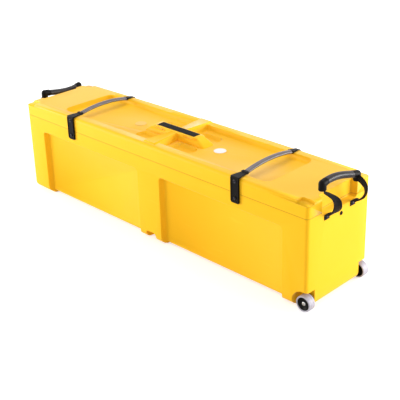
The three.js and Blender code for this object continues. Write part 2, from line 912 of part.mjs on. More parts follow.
// Rear end of a strap: from the sleeve it thins over the rim, and wraps it down to the pivot line
function strapRearEnd() {
  const startY = sleeveRearY + fit;
  const rimY = halfDepth - dishRimWidth;
  const bendY = halfDepth - lidEdgeRadius;
  const bendZ = rimZ - lidEdgeRadius;
  const inner = lidEdgeRadius + rearRimClearance;
  const outer = inner + rearBandThickness;
  const tip = rearBandThickness / 2;
  const stations = [
    [[startY, rimZ - rearEndDrop], [startY, rimZ + rearEndRise], rearEndWidth],
    [[rimY - rearEndDrop, rimZ], [rimY - rearEndDrop, rimZ + rearEndRise], rearEndWidth],
    [[rimY, bendZ + inner], [rimY, rimZ + rearEndRise - rearEndDrop / 2], rearEndWidth],
  ];
  for (let i = 0; i <= edgeSteps; i += 1) {
    const turn = (Math.PI / 2) * (i / edgeSteps);
    const onArc = (radius) => [bendY + radius * Math.sin(turn), bendZ + radius * Math.cos(turn)];
    stations.push([onArc(inner), onArc(outer), rearTipWidth]);
  }
  for (let i = 0; i < edgeSteps; i += 1) {
    const turn = (Math.PI / 2) * (i / edgeSteps);
    const z = strapAxisZ - tip * Math.sin(turn);
    const reach = tip * Math.cos(turn);
    stations.push([[strapAxisY - reach, z], [strapAxisY + reach, z], rearTipWidth]);
  }
  return loft(stations.map(([[lowY, lowZ], [highY, highZ], width]) => [
    new THREE.Vector3(-width / 2, lowY, lowZ),
    new THREE.Vector3(width / 2, lowY, lowZ),
    new THREE.Vector3(width / 2, highY, highZ),
    new THREE.Vector3(-width / 2, highY, highZ),
  ]));
}

function addStrap(name, side) {
  const strap = new THREE.Group();
  strap.position.x = side * strapX;
  group.add(strap);
  const centreZ = rimZ + sleeveLift;
  const sleeve = sweptOval(
    sleeveRoute(sleeveFrontY, sleeveRearY, centreZ),
    sleeveWidth / 2,
    sleeveHeight / 2,
    sleeveWall,
  );
  const webbing = sweptOval(
    sleeveRoute(sleeveFrontY + fit, sleeveRearY - fit, centreZ),
    webbingWidth / 2,
    webbingThickness / 2,
    0,
  );
  addPart(`strap_${name}_front_tab`, frontTab(), blackPlastic, strap);
  addPart(`strap_${name}_sleeve`, sleeve, greySleeve, strap);
  addPart(`strap_${name}_webbing`, webbing, blackWebbing, strap);
  addPart(`strap_${name}_rear_end`, strapRearEnd(), blackPlastic, strap);
  const ring = addPart(`strap_${name}_eyelet`, eyelet(), steel, strap);
  ring.rotation.x = Math.PI / 2;
  ring.position.set(0, -halfDepth - strapStandOff - strapThickness - fit, eyeletZ);
}

// Upper and lower hinge tabs behind each strap, with their rivets
function addHinge(name, side) {
  const x = side * strapX;
  const rear = new THREE.Matrix4().makeTranslation(-x, 0, fit).premultiply(rearFace);
  const lowerHeight = hingeTabDrop - fit;
  const lowerMiddle = seam - fit - lowerHeight / 2;
  const lowerHoles = hingeRivetsU.map((u) => [u, lowerRivetZ - lowerMiddle, rivetShankRadius + fit]);
  const lower = plate(hingeTabWidth, lowerHeight, hingeTabCorner, hingeTabThickness, lowerHoles);
  addPart(`hinge_${name}_lower_tab`, lower.translate(0, lowerMiddle, 0).applyMatrix4(rear), blackPlastic);
  const top = strapAxisZ - rearBandThickness / 2 - 2 * fit;
  const bottom = seam + fit;
  const middle = (top + bottom) / 2;
  const upperHoles = hingeRivetsU.map((u) => [u, upperRivetZ - middle, rivetShankRadius + fit]);
  const upper = plate(hingeTabWidth, top - bottom, fit, hingeTabThickness, upperHoles);
  addPart(`hinge_${name}_upper_tab`, upper.translate(0, middle, 0).applyMatrix4(rear), blackPlastic);
  const stack = wall + hingeTabThickness + fit;
  for (const [place, z] of [['lower', lowerRivetZ], ['upper', upperRivetZ]]) {
    for (const [end, u] of [['a', hingeRivetsU[0]], ['b', hingeRivetsU[1]]]) {
      const pin = rivet(stack).translate(u - x, z, hingeTabThickness + 2 * fit);
      addPart(`hinge_${name}_${place}_rivet_${end}`, pin.applyMatrix4(rearFace), steel);
    }
  }
}

// Latch stud on the tub under a strap tab
function addStud(name, side) {
  const stud = latchStud().translate(side * strapX, studZ, fit).applyMatrix4(frontFace);
  addPart(`latch_stud_${name}`, stud, steel);
}

addLidTrim();
for (const [name, side] of [['left', -1], ['right', 1]]) {
  addHinge(name, side);
  addStud(name, side);
  addStrap(name, side);
}

// Webbing foot on the end face: flat under its rivet, then bent out to the hinge line
function handleFoot() {
  const flatX = fit + webThickness / 2;
  const plateTop = anchorZ + footPlateHeight / 2;
  const [endX, endZ] = [hingeStandOff - hingeEndGap, anchorZ + hingeRise];
  const route = [
    [flatX, anchorZ - footTail, 0],
    [flatX, plateTop - 3 * webThickness, 0],
    [flatX + webThickness / 3, plateTop - webThickness, 0],
    [flatX + 2 * webThickness, endZ - webThickness / 3, 0],
    [endX - webThickness, endZ, 0],
    [endX, endZ, 0],
  ];
  return band(route, webWidth, webThickness);
}

// Webbing leg from the hinge line: it bulges out, turns about its length and ends under the collar
function handleLeg(top, spread, reach, turns) {
  const base = anchorZ + hingeRise;
  const bulge = reach - hingeStandOff;
  const centres = legShares.map(([out, up, aside]) => new THREE.Vector3(
    hingeStandOff + bulge * out + (handleStandOff - hingeStandOff) * up,
    spread * aside,
    base + (top - base) * up,
  ));
  const curve = new THREE.CatmullRomCurve3(centres);
  const stations = roundedEndShares.map(([back, share]) => {
    const inset = back * Math.SQRT1_2 * webThickness / 2;
    const centre = new THREE.Vector3(hingeStandOff - inset, 0, base - inset);
    return { centre, across: axisY, share };
  });
  const steps = 2 * (centres.length - 1);
  for (let i = 0; i <= steps; i += 1) {
    const turn = (turns[Math.floor(i / 2)] + turns[Math.ceil(i / 2)]) / 2;
    const angle = THREE.MathUtils.degToRad(turn);
    const across = new THREE.Vector3(-Math.sin(angle), Math.cos(angle), 0);
    stations.push({ centre: curve.getPoint(i / steps), across, share: 1 });
  }
  return ribbon(stations, webWidth, webThickness);
}

// Flat band through stations of a centre and the way that its width points
function ribbon(stations, width, thickness) {
  return loft(stations.map(({ centre, across, share }, i) => {
    const before = stations[Math.max(i - 1, 0)].centre;
    const after = stations[Math.min(i + 1, stations.length - 1)].centre;
    const normal = after.clone().sub(before).cross(across).setLength(share * thickness / 2);
    return [[-1, -1], [-1, 1], [1, 1], [1, -1]].map(([side, wide]) => centre.clone()
      .addScaledVector(normal, side)
      .addScaledVector(across, wide * width / 2));
  }));
}

// Height of the grip's middle line at a place between its two elbows
function gripHeight(grip, y) {
  const share = (y - grip.sway) / (grip.span / 2);
  return anchorZ + grip.rise - grip.tilt * share
    + grip.arch * (1 - share ** 2) * (1 - archLeanShare * share);
}

// Round bar along Y on an arched route
function gripTube(grip, startY, endY) {
  const levels = [];
  for (let i = 0; i <= gripRings; i += 1) {
    const y = THREE.MathUtils.lerp(startY, endY, i / gripRings);
    levels.push(Array.from({ length: roundSegments }, (_, k) => {
      const turn = (2 * Math.PI * k) / roundSegments;
      const across = handleStandOff + gripRadius * Math.cos(turn);
      return new THREE.Vector3(across, y, gripHeight(grip, y) + gripRadius * Math.sin(turn));
    }));
  }
  return loft(levels.map((ring) => ring.slice().reverse()));
}

// Collar of the grip: a socket on the grip's end, and a domed barrel that the webbing hangs from
function gripCollar(socket, socketDrop) {
  const radius = gripCollarRadius;
  const lip = radius * collarLipShare;
  const barrel = [[0, -barrelDrop], [radius - lip, -barrelDrop], [radius, lip - barrelDrop]];
  for (let i = 0; i <= edgeSteps; i += 1) {
    const turn = (Math.PI / 2) * (i / edgeSteps);
    barrel.push([radius * Math.cos(turn), radius * Math.sin(turn)]);
  }
  const rings = [0, socket - lip, socket].map((reach, i) => {
    const size = i > 1 ? radius - lip : radius;
    const centreZ = socketDrop * (reach / socket) ** 2;
    return Array.from({ length: 2 * roundSegments }, (_, k) => {
      const turn = (Math.PI * k) / roundSegments;
      return new THREE.Vector3(size * Math.cos(turn), -reach, centreZ + size * Math.sin(turn));
    });
  });
  const whole = solid(turned(barrel, 2 * roundSegments)).add(solid(faced(loft(rings))));
  return geometryOf(whole).scale(collarFlatShare, 1, 1);
}

// A handle with its feet and rivets, drawn for the right end and turned for the left
function addHandle(name, turn, grip) {
  const handle = new THREE.Group();
  handle.rotation.z = turn;
  group.add(handle);
  const outward = new THREE.Matrix4().makeTranslation(halfLength, 0, 0);
  const half = grip.span / 2;
  const startY = grip.sway - half + shortSocket + fit;
  const endY = grip.sway + half - longSocket - fit;
  const tube = gripTube(grip, startY, endY).applyMatrix4(outward);
  addPart(`handle_${name}_grip`, tube, greySleeve, handle);
  const ends = [
    { side: -1, socket: shortSocket, bulge: shortEndBulge, turns: legTurns.short },
    { side: 1, socket: longSocket, bulge: longEndBulge, turns: legTurns.long },
  ];
  for (const { side, socket, bulge, turns } of ends) {
    const end = (turn > 0) === (side > 0) ? 'front' : 'rear';
    const elbowY = grip.sway + side * half;
    const elbowZ = gripHeight(grip, elbowY);
    const socketY = elbowY - side * socket;
    const place = new THREE.Matrix4().makeTranslation(halfLength, side * anchorSpacing / 2, 0);
    const flip = new THREE.Matrix4().makeScale(1, side, 1);
    const spread = side * elbowY - legInset - anchorSpacing / 2;
    const legTop = elbowZ - barrelDrop - fit;
    const leg = handleLeg(legTop, spread, bulge, turns);
    const placedLeg = faced(leg.applyMatrix4(flip).applyMatrix4(place));
    addPart(`handle_${name}_${end}_webbing`, placedLeg, blackWebbing, handle);
    const collar = gripCollar(socket, gripHeight(grip, socketY) - elbowZ).applyMatrix4(flip);
    collar.translate(halfLength + handleStandOff, elbowY, elbowZ);
    addPart(`handle_${name}_${end}_collar`, faced(collar), blackRubber, handle);
    const foot = solid(handleFoot().applyMatrix4(place));
    const hole = holeIn(rightFace, side * anchorSpacing / 2, anchorZ, rivetShankRadius + fit, 0);
    addPart(`handle_${name}_${end}_foot`, geometryOf(cut(foot, [hole])), blackWebbing, handle);
    const pin = rivet(wall + webThickness + fit);
    pin.translate(side * anchorSpacing / 2, anchorZ, webThickness + 2 * fit);
    addPart(`handle_${name}_${end}_rivet`, pin.applyMatrix4(rightFace), steel, handle);
  }
}

// Turns a mirrored mesh's faces outwards again
function faced(geometry) {
  const index = geometry.getIndex().array;
  const position = geometry.getAttribute('position');
  const corner = (i) => new THREE.Vector3().fromBufferAttribute(position, i);
  let volume = 0;
  for (let i = 0; i < index.length; i += 3) {
    const [a, b, c] = [corner(index[i]), corner(index[i + 1]), corner(index[i + 2])];
    volume += a.dot(b.cross(c));
  }
  if (volume < 0) {
    geometry.setIndex(Array.from(index).reverse());
  }
  return geometry;
}

addHandle('right', 0, rightGrip);
addHandle('left', Math.PI, leftGrip);

// Vent plug of the wheeled end, between the handle's feet
const vent = ventPlug().translate(ventOffset, seam - ventDrop, fit).applyMatrix4(rightFace);
addPart('vent_plug', vent, blackPlastic);

// Wheel pieces about their own axle, with the outer face at negative w
function wheelTyre() {
  const half = wheelWidth / 2;
  const inner = wheelRadius - tyreThickness;
  return turned([
    [inner, tyreShoulder / 2 - half],
    [wheelRadius - tyreShoulder, -half],
    [wheelRadius, tyreShoulder - half],
    [wheelRadius, half - tyreShoulder],
    [wheelRadius - tyreShoulder, half],
    [inner, half - tyreShoulder / 2],
  ], wheelSegments);
}

function wheelHub() {
  const half = wheelWidth / 2 - tyreShoulder / 2;
  const outer = wheelRadius - tyreThickness - fit;
  const bore = axleRadius + fit;
  return turned([
    [bore, -half + hubDish],
    [hubCoreRadius, -half + hubDish],
    [hubDishRadius, -half + hubDish / 2],
    [outer - tyreShoulder / 2, -half],
    [outer, -half + tyreShoulder / 2],
    [outer, half],
    [hubCoreRadius, half],
    [bore, half],
  ], wheelSegments);
}

function axleBolt(faceW, endW) {
  return turned([
    [0, faceW - axleHeadHeight],
    [axleHeadRadius * capShare, faceW - axleHeadHeight],
    [axleHeadRadius, faceW - axleHeadHeight / 2],
    [axleHeadRadius, faceW],
    [axleRadius, faceW],
    [axleRadius, endW],
    [0, endW],
  ]);
}

function ringPiece(radius, bore, startW, endW, segments) {
  return turned([[bore, startW], [radius, startW], [radius, endW], [bore, endW]], segments);
}

function addWheel(name, side) {
  const wheel = new THREE.Group();
  wheel.position.set(wheelX, side * wheelY, wheelRadius);
  wheel.rotation.x = side < 0 ? -Math.PI / 2 : Math.PI / 2;
  group.add(wheel);
  const hubHalf = wheelWidth / 2 - tyreShoulder / 2;
  const faceW = hubDish - hubHalf - fit;
  const wellWallW = wellDepth - wheelFaceInset - wheelWidth / 2;
  const nutStart = wellWallW + wall + fit;
  const nutEnd = nutStart + nutHeight;
  addPart(`wheel_${name}_tyre`, wheelTyre(), greyTyre, wheel);
  addPart(`wheel_${name}_hub`, wheelHub(), blackPlastic, wheel);
  addPart(`wheel_${name}_axle_bolt`, axleBolt(faceW, nutEnd + axleRadius / 2), steel, wheel);
  const bore = axleRadius + fit;
  const spacer = ringPiece(spacerRadius, bore, hubHalf + fit, wellWallW - fit, roundSegments);
  addPart(`wheel_${name}_spacer`, spacer, blackPlastic, wheel);
  const nutBore = bore / Math.cos(Math.PI / nutSides);
  const nut = ringPiece(nutRadius, nutBore, nutStart, nutEnd, nutSides);
  addPart(`wheel_${name}_axle_nut`, nut, steel, wheel);
}

addWheel('front', -1);
addWheel('rear', 1);

// Centres the whole between its foremost pieces, the latch studs, and its rearmost, the hinge rivets
const frontReach = fit + studHeight;
const rearReach = hingeTabThickness + 2 * fit + rivetHeadHeight;
group.position.y = (frontReach - rearReach) / 2;

// Normals, and faces that point out, on every piece
group.traverse((part) => {
  if (part.isMesh) {
    const bare = part.geometry;
    bare.deleteAttribute('normal');
    bare.deleteAttribute('uv');
    part.geometry = faced(mergeVertices(bare));
    part.geometry.computeVertexNormals();
  }
});

export default group;
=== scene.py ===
import math
import bmesh
import bpy
from mathutils import Matrix, Vector


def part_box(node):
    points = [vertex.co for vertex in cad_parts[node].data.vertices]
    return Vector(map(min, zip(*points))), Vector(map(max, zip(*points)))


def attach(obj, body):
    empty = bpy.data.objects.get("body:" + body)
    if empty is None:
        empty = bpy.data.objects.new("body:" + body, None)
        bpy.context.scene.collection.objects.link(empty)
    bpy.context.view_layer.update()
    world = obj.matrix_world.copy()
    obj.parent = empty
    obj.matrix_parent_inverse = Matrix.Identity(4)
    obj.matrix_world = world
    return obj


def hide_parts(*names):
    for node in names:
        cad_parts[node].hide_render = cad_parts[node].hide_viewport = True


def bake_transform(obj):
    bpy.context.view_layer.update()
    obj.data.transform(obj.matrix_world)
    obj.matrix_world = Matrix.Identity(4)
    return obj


# Drum hardware case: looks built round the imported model. Lengths are in metres, with mm as a
# short way to write small ones. +X is the wheeled end, -Y the front and +Z up.
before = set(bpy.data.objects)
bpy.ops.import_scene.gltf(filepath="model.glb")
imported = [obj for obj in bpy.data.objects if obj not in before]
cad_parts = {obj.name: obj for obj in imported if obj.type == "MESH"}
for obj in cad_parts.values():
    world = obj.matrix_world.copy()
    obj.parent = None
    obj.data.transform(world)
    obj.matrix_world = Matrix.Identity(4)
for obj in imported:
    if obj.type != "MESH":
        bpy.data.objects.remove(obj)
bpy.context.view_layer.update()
mm = 0.001

# Camera
# The picture is a product shot from in front of the wheeled end and a little above the lid.
# Lens, place, turn and vertical shift come from a fit that brings the case's corners near their
# places in the picture.
camera = bpy.data.objects.new("camera", bpy.data.cameras.new("camera"))
bpy.context.scene.collection.objects.link(camera)
bpy.context.scene.camera = camera
camera.data.sensor_width = 36.0
camera.data.lens = 79.73
camera.data.shift_y = -0.1042
camera.data.clip_start = 0.1
camera.data.clip_end = 60.0
camera.location = (2.1080, -1.9744, 1.4879)
camera.rotation_euler = [math.radians(turn) for turn in (67.086, 1.627, 44.741)]

# Studio
# A white sweep under an even sky and five soft boxes: a strong one beyond the wheeled end, which
# it makes the palest face, a strong one low before the plain end, and three weak ones that fill
# the front, the rear and the lid.
bpy.context.scene.view_settings.view_transform = "Standard"


def add(tree, kind, inputs=None, **settings):
    """A shader node with its settings; each input takes a value, or a socket to link from."""
    node = tree.nodes.new(kind)
    for key, value in settings.items():
        setattr(node, key, value)
    for key, value in (inputs or {}).items():
        if isinstance(value, bpy.types.NodeSocket):
            tree.links.new(value, node.inputs[key])
        else:
            node.inputs[key].default_value = value
    return node


world = bpy.data.worlds.new("studio_sky")
world.use_nodes = True
bpy.context.scene.world = world
sky = world.node_tree
sky.nodes.clear()
path = add(sky, "ShaderNodeLightPath").outputs
seen_ray = add(sky, "ShaderNodeMath", {0: path["Is Camera Ray"], 1: path["Is Glossy Ray"]},
               operation="MAXIMUM")
lit = add(sky, "ShaderNodeBackground", {"Color": (1.0, 0.985, 0.96, 1.0), "Strength": 0.55})
seen = add(sky, "ShaderNodeBackground", {"Color": (1.0, 1.0, 1.0, 1.0), "Strength": 1.0})
backdrop = add(sky, "ShaderNodeMixShader", {
    "Fac": seen_ray.outputs[0], 1: lit.outputs[0], 2: seen.outputs[0]})
add(sky, "ShaderNodeOutputWorld", {"Surface": backdrop.outputs[0]})

floor_mesh = bpy.data.meshes.new("studio_floor")
floor_shape = bmesh.new()
bmesh.ops.create_grid(floor_shape, x_segments=4, y_segments=4, size=14.0)
floor_shape.to_mesh(floor_mesh)
floor_shape.free()
floor = bpy.data.objects.new("studio_floor", floor_mesh)
bpy.context.scene.collection.objects.link(floor)
paper = bpy.data.materials.new("white_paper")
paper.use_nodes = True
paper_shader = paper.node_tree.nodes["Principled BSDF"]
paper_shader.inputs["Base Color"].default_value = (0.8, 0.8, 0.8, 1.0)
paper_shader.inputs["Roughness"].default_value = 0.95
paper_shader.inputs["Emission Color"].default_value = (1.0, 1.0, 1.0, 1.0)
floor_seen = add(paper.node_tree, "ShaderNodeLightPath").outputs["Is Camera Ray"]
floor_glow = add(paper.node_tree, "ShaderNodeMath", {0: floor_seen, 1: 0.55}, operation="MULTIPLY")
paper.node_tree.links.new(floor_glow.outputs[0], paper_shader.inputs["Emission Strength"])
floor_mesh.materials.append(paper)


def soft_box(name, place, target, width, height, power, colour):
    """A rectangular studio lamp aimed at a point."""
    lamp = bpy.data.lights.new(name, "AREA")
    lamp.shape = "RECTANGLE"
    lamp.size = width
    lamp.size_y = height
    lamp.energy = power
    lamp.color = colour
    holder = bpy.data.objects.new(name, lamp)
    holder.location = place
    aim = Vector(target) - Vector(place)
    holder.rotation_euler = aim.to_track_quat("-Z", "Y").to_euler()
    bpy.context.scene.collection.objects.link(holder)


soft_box("end_box", (3.0, 2.1, 0.75), (0.7, 0.0, 0.2), 2.2, 1.3, 130.0, (1.0, 1.0, 1.0))
soft_box("front_box", (-2.9, -2.35, 0.7), (-0.55, 0.0, 0.2), 2.4, 1.2, 116.0, (1.0, 0.99, 0.97))
soft_box("fill_box", (1.2, -3.4, 1.4), (0.3, 0.0, 0.2), 2.6, 1.6, 16.0, (1.0, 0.99, 0.97))
soft_box("back_box", (-2.1, 2.7, 1.2), (-0.2, 0.0, 0.36), 3.4, 0.9, 7.0, (1.0, 0.97, 0.97))
soft_box("top_box", (-0.4, 0.9, 2.9), (0.0, 0.0, 0.4), 3.2, 2.0, 40.0, (1.0, 0.99, 0.98))

# Shells
# The tub and the lid are deep mouldings of yellow polyethylene with one soft texture all over.
# Each is a merged copy of its solid, with small rounds on every hard edge as a mould leaves them.


def group(name, takes, gives):
    """A node group that materials share; returns its tree, its inputs and its outputs."""
    tree = bpy.data.node_groups.new(name, "ShaderNodeTree")
    for label, (kind, value) in takes.items():
        socket = tree.interface.new_socket(label, in_out="INPUT", socket_type=kind)
        socket.default_value = value
    for label, kind in gives.items():
        tree.interface.new_socket(label, in_out="OUTPUT", socket_type=kind)
    inside = tree.nodes.new("NodeGroupInput").outputs
    return tree, inside, tree.nodes.new("NodeGroupOutput").inputs


def use(tree, shared, inputs):
    """A shared node group placed in a material; returns its outputs."""
    return add(tree, "ShaderNodeGroup", inputs, node_tree=shared).outputs


def surface(name, roughness, metallic=0.0):
    """A new material; returns it with its tree and its shader."""
    made = bpy.data.materials.new(name)
    made.use_nodes = True
    shader = made.node_tree.nodes["Principled BSDF"]
    shader.inputs["Roughness"].default_value = roughness
    shader.inputs["Metallic"].default_value = metallic
    return made, made.node_tree, shader


def dress(tree, shader, colour, roughness, height, strength, distance):
    """Links a material's colour, roughness and bump to its shader."""
    bump = add(tree, "ShaderNodeBump", {"Height": height, "Strength": strength, "Distance": distance})
    tree.links.new(colour, shader.inputs["Base Color"])
    tree.links.new(roughness, shader.inputs["Roughness"])
    tree.links.new(bump.outputs["Normal"], shader.inputs["Normal"])


# Moulded grain: the fine pebbled skin that a textured mould gives, as a height and a mask
grain, grain_in, grain_out = group(
    "moulded_grain",
    {"Scale": ("NodeSocketFloat", 700.0), "Softness": ("NodeSocketFloat", 0.5)},
    {"Height": "NodeSocketFloat", "Mask": "NodeSocketFloat"},
)
grain_place = add(grain, "ShaderNodeTexCoord").outputs["Object"]
pebbles = add(grain, "ShaderNodeTexVoronoi", {"Vector": grain_place, "Scale": grain_in["Scale"]},
              feature="SMOOTH_F1")
fine = add(grain, "ShaderNodeTexNoise", {
    "Vector": grain_place, "Scale": grain_in["Scale"], "Detail": 3.0, "Roughness": grain_in["Softness"]})
grain_sum = add(grain, "ShaderNodeMath", {0: pebbles.outputs["Distance"], 1: fine.outputs["Fac"]},
                operation="MULTIPLY_ADD")
grain.links.new(fine.outputs["Fac"], grain_sum.inputs[2])
grain.links.new(grain_sum.outputs[0], grain_out["Height"])
grain.links.new(fine.outputs["Fac"], grain_out["Mask"])

# Colour drift: slow cloudy change between two tones, as in a large moulding
drift, drift_in, drift_out = group(
    "colour_drift",
    {
        "Tone A": ("NodeSocketColor", (0.5, 0.5, 0.5, 1.0)),
        "Tone B": ("NodeSocketColor", (0.4, 0.4, 0.4, 1.0)),
        "Scale": ("NodeSocketFloat", 4.0),
    },
    {"Color": "NodeSocketColor"},
)
drift_place = add(drift, "ShaderNodeTexCoord").outputs["Object"]
clouds = add(drift, "ShaderNodeTexNoise", {
    "Vector": drift_place, "Scale": drift_in["Scale"], "Detail": 4.0, "Roughness": 0.55})
spread = add(drift, "ShaderNodeMapRange", {
    "Value": clouds.outputs["Fac"], "From Min": 0.32, "From Max": 0.68})
tones = add(drift, "ShaderNodeMix", {
    0: spread.outputs[0], 6: drift_in["Tone A"], 7: drift_in["Tone B"]}, data_type="RGBA")
drift.links.new(tones.outputs[2], drift_out["Color"])

# Scuffs: sparse short scratches and rubbed patches of handling, as a mask
scuffs, scuffs_in, scuffs_out = group(
    "scuffs",
    {"Scale": ("NodeSocketFloat", 9.0), "Amount": ("NodeSocketFloat", 0.5)},
    {"Mask": "NodeSocketFloat"},
)
scuff_place = add(scuffs, "ShaderNodeTexCoord").outputs["Object"]
stretch = add(scuffs, "ShaderNodeMapping", {
    "Vector": scuff_place, "Rotation": (0.3, 0.2, 0.5), "Scale": (1.0, 14.0, 9.0)})
streaks = add(scuffs, "ShaderNodeTexNoise", {
    "Vector": stretch.outputs[0], "Scale": scuffs_in["Scale"], "Detail": 5.0, "Distortion": 0.4})
thin = add(scuffs, "ShaderNodeMapRange", {
    "Value": streaks.outputs["Fac"], "From Min": 0.62, "From Max": 0.7})
patches = add(scuffs, "ShaderNodeTexNoise", {
    "Vector": scuff_place, "Scale": scuffs_in["Scale"], "Detail": 2.0})
where = add(scuffs, "ShaderNodeMapRange", {
    "Value": patches.outputs["Fac"], "From Min": 0.52, "From Max": 0.7})
both = add(scuffs, "ShaderNodeMath", {0: thin.outputs[0], 1: where.outputs[0]}, operation="MULTIPLY")
scaled = add(scuffs, "ShaderNodeMath", {0: both.outputs[0], 1: scuffs_in["Amount"]},
             operation="MULTIPLY")
scuffs.links.new(scaled.outputs[0], scuffs_out["Mask"])


def plastic(name, tone_a, tone_b, worn, roughness, grain_scale, drift_scale, bump, depth):
    """A moulded plastic: drifting tones, rubbed patches, and a grain in roughness and bump."""
    made, tree, shader = surface(name, roughness)
    tone = use(tree, drift, {"Tone A": tone_a, "Tone B": tone_b, "Scale": drift_scale})
    rub = use(tree, scuffs, {"Scale": 2.5 * drift_scale, "Amount": 0.6})["Mask"]
    skin = use(tree, grain, {"Scale": grain_scale, "Softness": 0.55})
    colour = add(tree, "ShaderNodeMix", {
        0: rub, 6: tone["Color"], 7: worn}, data_type="RGBA").outputs[2]
    matt = add(tree, "ShaderNodeMapRange", {
        "Value": skin["Mask"], "To Min": roughness - 0.05, "To Max": roughness + 0.06}).outputs[0]
    rubbed = add(tree, "ShaderNodeMath", {0: rub, 1: 0.2, 2: matt}, operation="MULTIPLY_ADD").outputs[0]
    dress(tree, shader, colour, rubbed, skin["Height"], bump, depth)
    return made, shader


yellow, yellow_shader = plastic(
    "yellow_polyethylene",
    (0.985, 0.545, 0.011, 1.0),
    (0.975, 0.52, 0.009, 1.0),
    (0.985, 0.61, 0.03, 1.0),
    roughness=0.42, grain_scale=620.0, drift_scale=3.5, bump=0.22, depth=0.25 * mm,
)
yellow_shader.inputs["Specular IOR Level"].default_value = 0.1
yellow_shader.inputs["Sheen Weight"].default_value = 0.25
yellow_shader.inputs["Sheen Roughness"].default_value = 0.4

# Joint line: painted shade of the groove where the lid's edge meets the tub's
joint_height = 316.5 * mm
yellow_tree = yellow.node_tree
body_tone = yellow_shader.inputs["Base Color"].links[0].from_socket
body_place = add(yellow_tree, "ShaderNodeTexCoord").outputs["Object"]
level_z = add(yellow_tree, "ShaderNodeSeparateXYZ", {0: body_place}).outputs["Z"]
off_joint = add(yellow_tree, "ShaderNodeMath", {0: level_z, 1: joint_height}, operation="SUBTRACT")
from_joint = add(yellow_tree, "ShaderNodeMath", {0: off_joint.outputs[0]}, operation="ABSOLUTE")
# Painted shade: a dark orange mixed into the colour in a band about 2 mm either side of the joint's
# height
painted_joint_shade = add(yellow_tree, "ShaderNodeMapRange", {
    "Value": from_joint.outputs[0], "From Min": 0.7 * mm, "From Max": 2.0 * mm,
    "To Min": 0.55, "To Max": 0.0})
jointed = add(yellow_tree, "ShaderNodeMix", {
    0: painted_joint_shade.outputs[0], 6: body_tone, 7: (0.42, 0.17, 0.0, 1.0)}, data_type="RGBA")
yellow_tree.links.new(jointed.outputs[2], yellow_shader.inputs["Base Color"])


def merged(node):
    """A mesh of a CAD node's shape with its corners merged and its flat triangles joined."""
    weld, flat = 0.02 * mm, math.radians(0.4)
    shape = bmesh.new()
    shape.from_mesh(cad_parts[node].data)
    bmesh.ops.remove_doubles(shape, verts=shape.verts, dist=weld)
    bmesh.ops.dissolve_limit(shape, angle_limit=flat, verts=shape.verts, edges=shape.edges)
    bmesh.ops.recalc_face_normals(shape, faces=shape.faces)
    return shape


def formed(name, shape, material, smooth_angle):
    """Turns a mesh in the making into an object of one material, smooth but at its hard edges."""
    mesh = bpy.data.meshes.new(name)
    shape.to_mesh(mesh)
    shape.free()
    mesh.materials.append(material)
    mesh.shade_smooth()
    mesh.set_sharp_from_angle(angle=math.radians(smooth_angle))
    made = bpy.data.objects.new(name, mesh)
    bpy.context.scene.collection.objects.link(made)
    return made


def piece(name, shape, material, body, nodes, smooth_angle=40.0):
    """A formed piece that rides a body in place of its CAD nodes."""
    made = formed(name, shape, material, smooth_angle)
    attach(made, body)
    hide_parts(*nodes)
    return made


def soften(made, width):
    """Small rounds on a piece's hard edges, with normals that follow its large faces."""
    rounds = made.modifiers.new("rounds", "BEVEL")
    rounds.width = width
    rounds.segments = 3
    rounds.limit_method = "ANGLE"
    rounds.angle_limit = math.radians(50.0)
    rounds.use_clamp_overlap = True
    rounds.harden_normals = True


mould_round = 1.4 * mm
tub = piece("tub_moulding", merged("tub_shell"), yellow, "case", ["tub_shell"])
soften(tub, mould_round)
lid = piece("lid_moulding", merged("lid_shell"), yellow, "lid", ["lid_shell"])
soften(lid, mould_round)

# Black fittings
# The vent plug between the right handle's feet and the hinge plates behind the straps are
# injection-moulded black plastic, pressed or riveted on. The plates stay plain on the rear face.
black_plastic, black_shader = plastic(
    "black_plastic",
    (0.0045, 0.0038, 0.0036, 1.0),
    (0.003, 0.0025, 0.0024, 1.0),
    (0.018, 0.017, 0.017, 1.0),
    roughness=0.42, grain_scale=900.0, drift_scale=14.0, bump=0.3, depth=0.12 * mm,
)
black_shader.inputs["Specular IOR Level"].default_value = 0.1


def turned(profile, place, turn, segments=40):
    """A profile of (radius, height) stations spun about Z, then turned and moved into place."""
    shape = bmesh.new()
    corners = [shape.verts.new((radius, 0.0, height)) for radius, height in profile]
    edges = [shape.edges.new(pair) for pair in zip(corners, corners[1:])]
    if profile[0][0] > 0:
        edges.append(shape.edges.new((corners[-1], corners[0])))
    bmesh.ops.spin(shape, geom=corners + edges, cent=(0, 0, 0), axis=(0, 0, 1), dvec=(0, 0, 0),
                   angle=2 * math.pi, steps=segments, use_merge=True, use_duplicate=False)
    bmesh.ops.remove_doubles(shape, verts=shape.verts, dist=0.002 * mm)
    bmesh.ops.transform(shape, matrix=Matrix.Translation(place) @ turn, verts=shape.verts)
    bmesh.ops.recalc_face_normals(shape, faces=shape.faces)
    return shape


def rounded(points, radius, steps=4):
    """A profile whose inner corners are rounded to a radius."""
    out = [points[0]]
    for before, corner, after in zip(points, points[1:], points[2:]):
        a, b, c = Vector(before), Vector(corner), Vector(after)
        back, ahead = (a - b), (c - b)
        cut = min(radius, back.length / 2, ahead.length / 2)
        start, end = b + back.normalized() * cut, b + ahead.normalized() * cut
        for i in range(steps + 1):
            t = i / steps
            bent = start * (1 - t) ** 2 + b * (2 * t * (1 - t)) + end * t ** 2
            out.append(tuple(bent))
    out.append(points[-1])
    return out


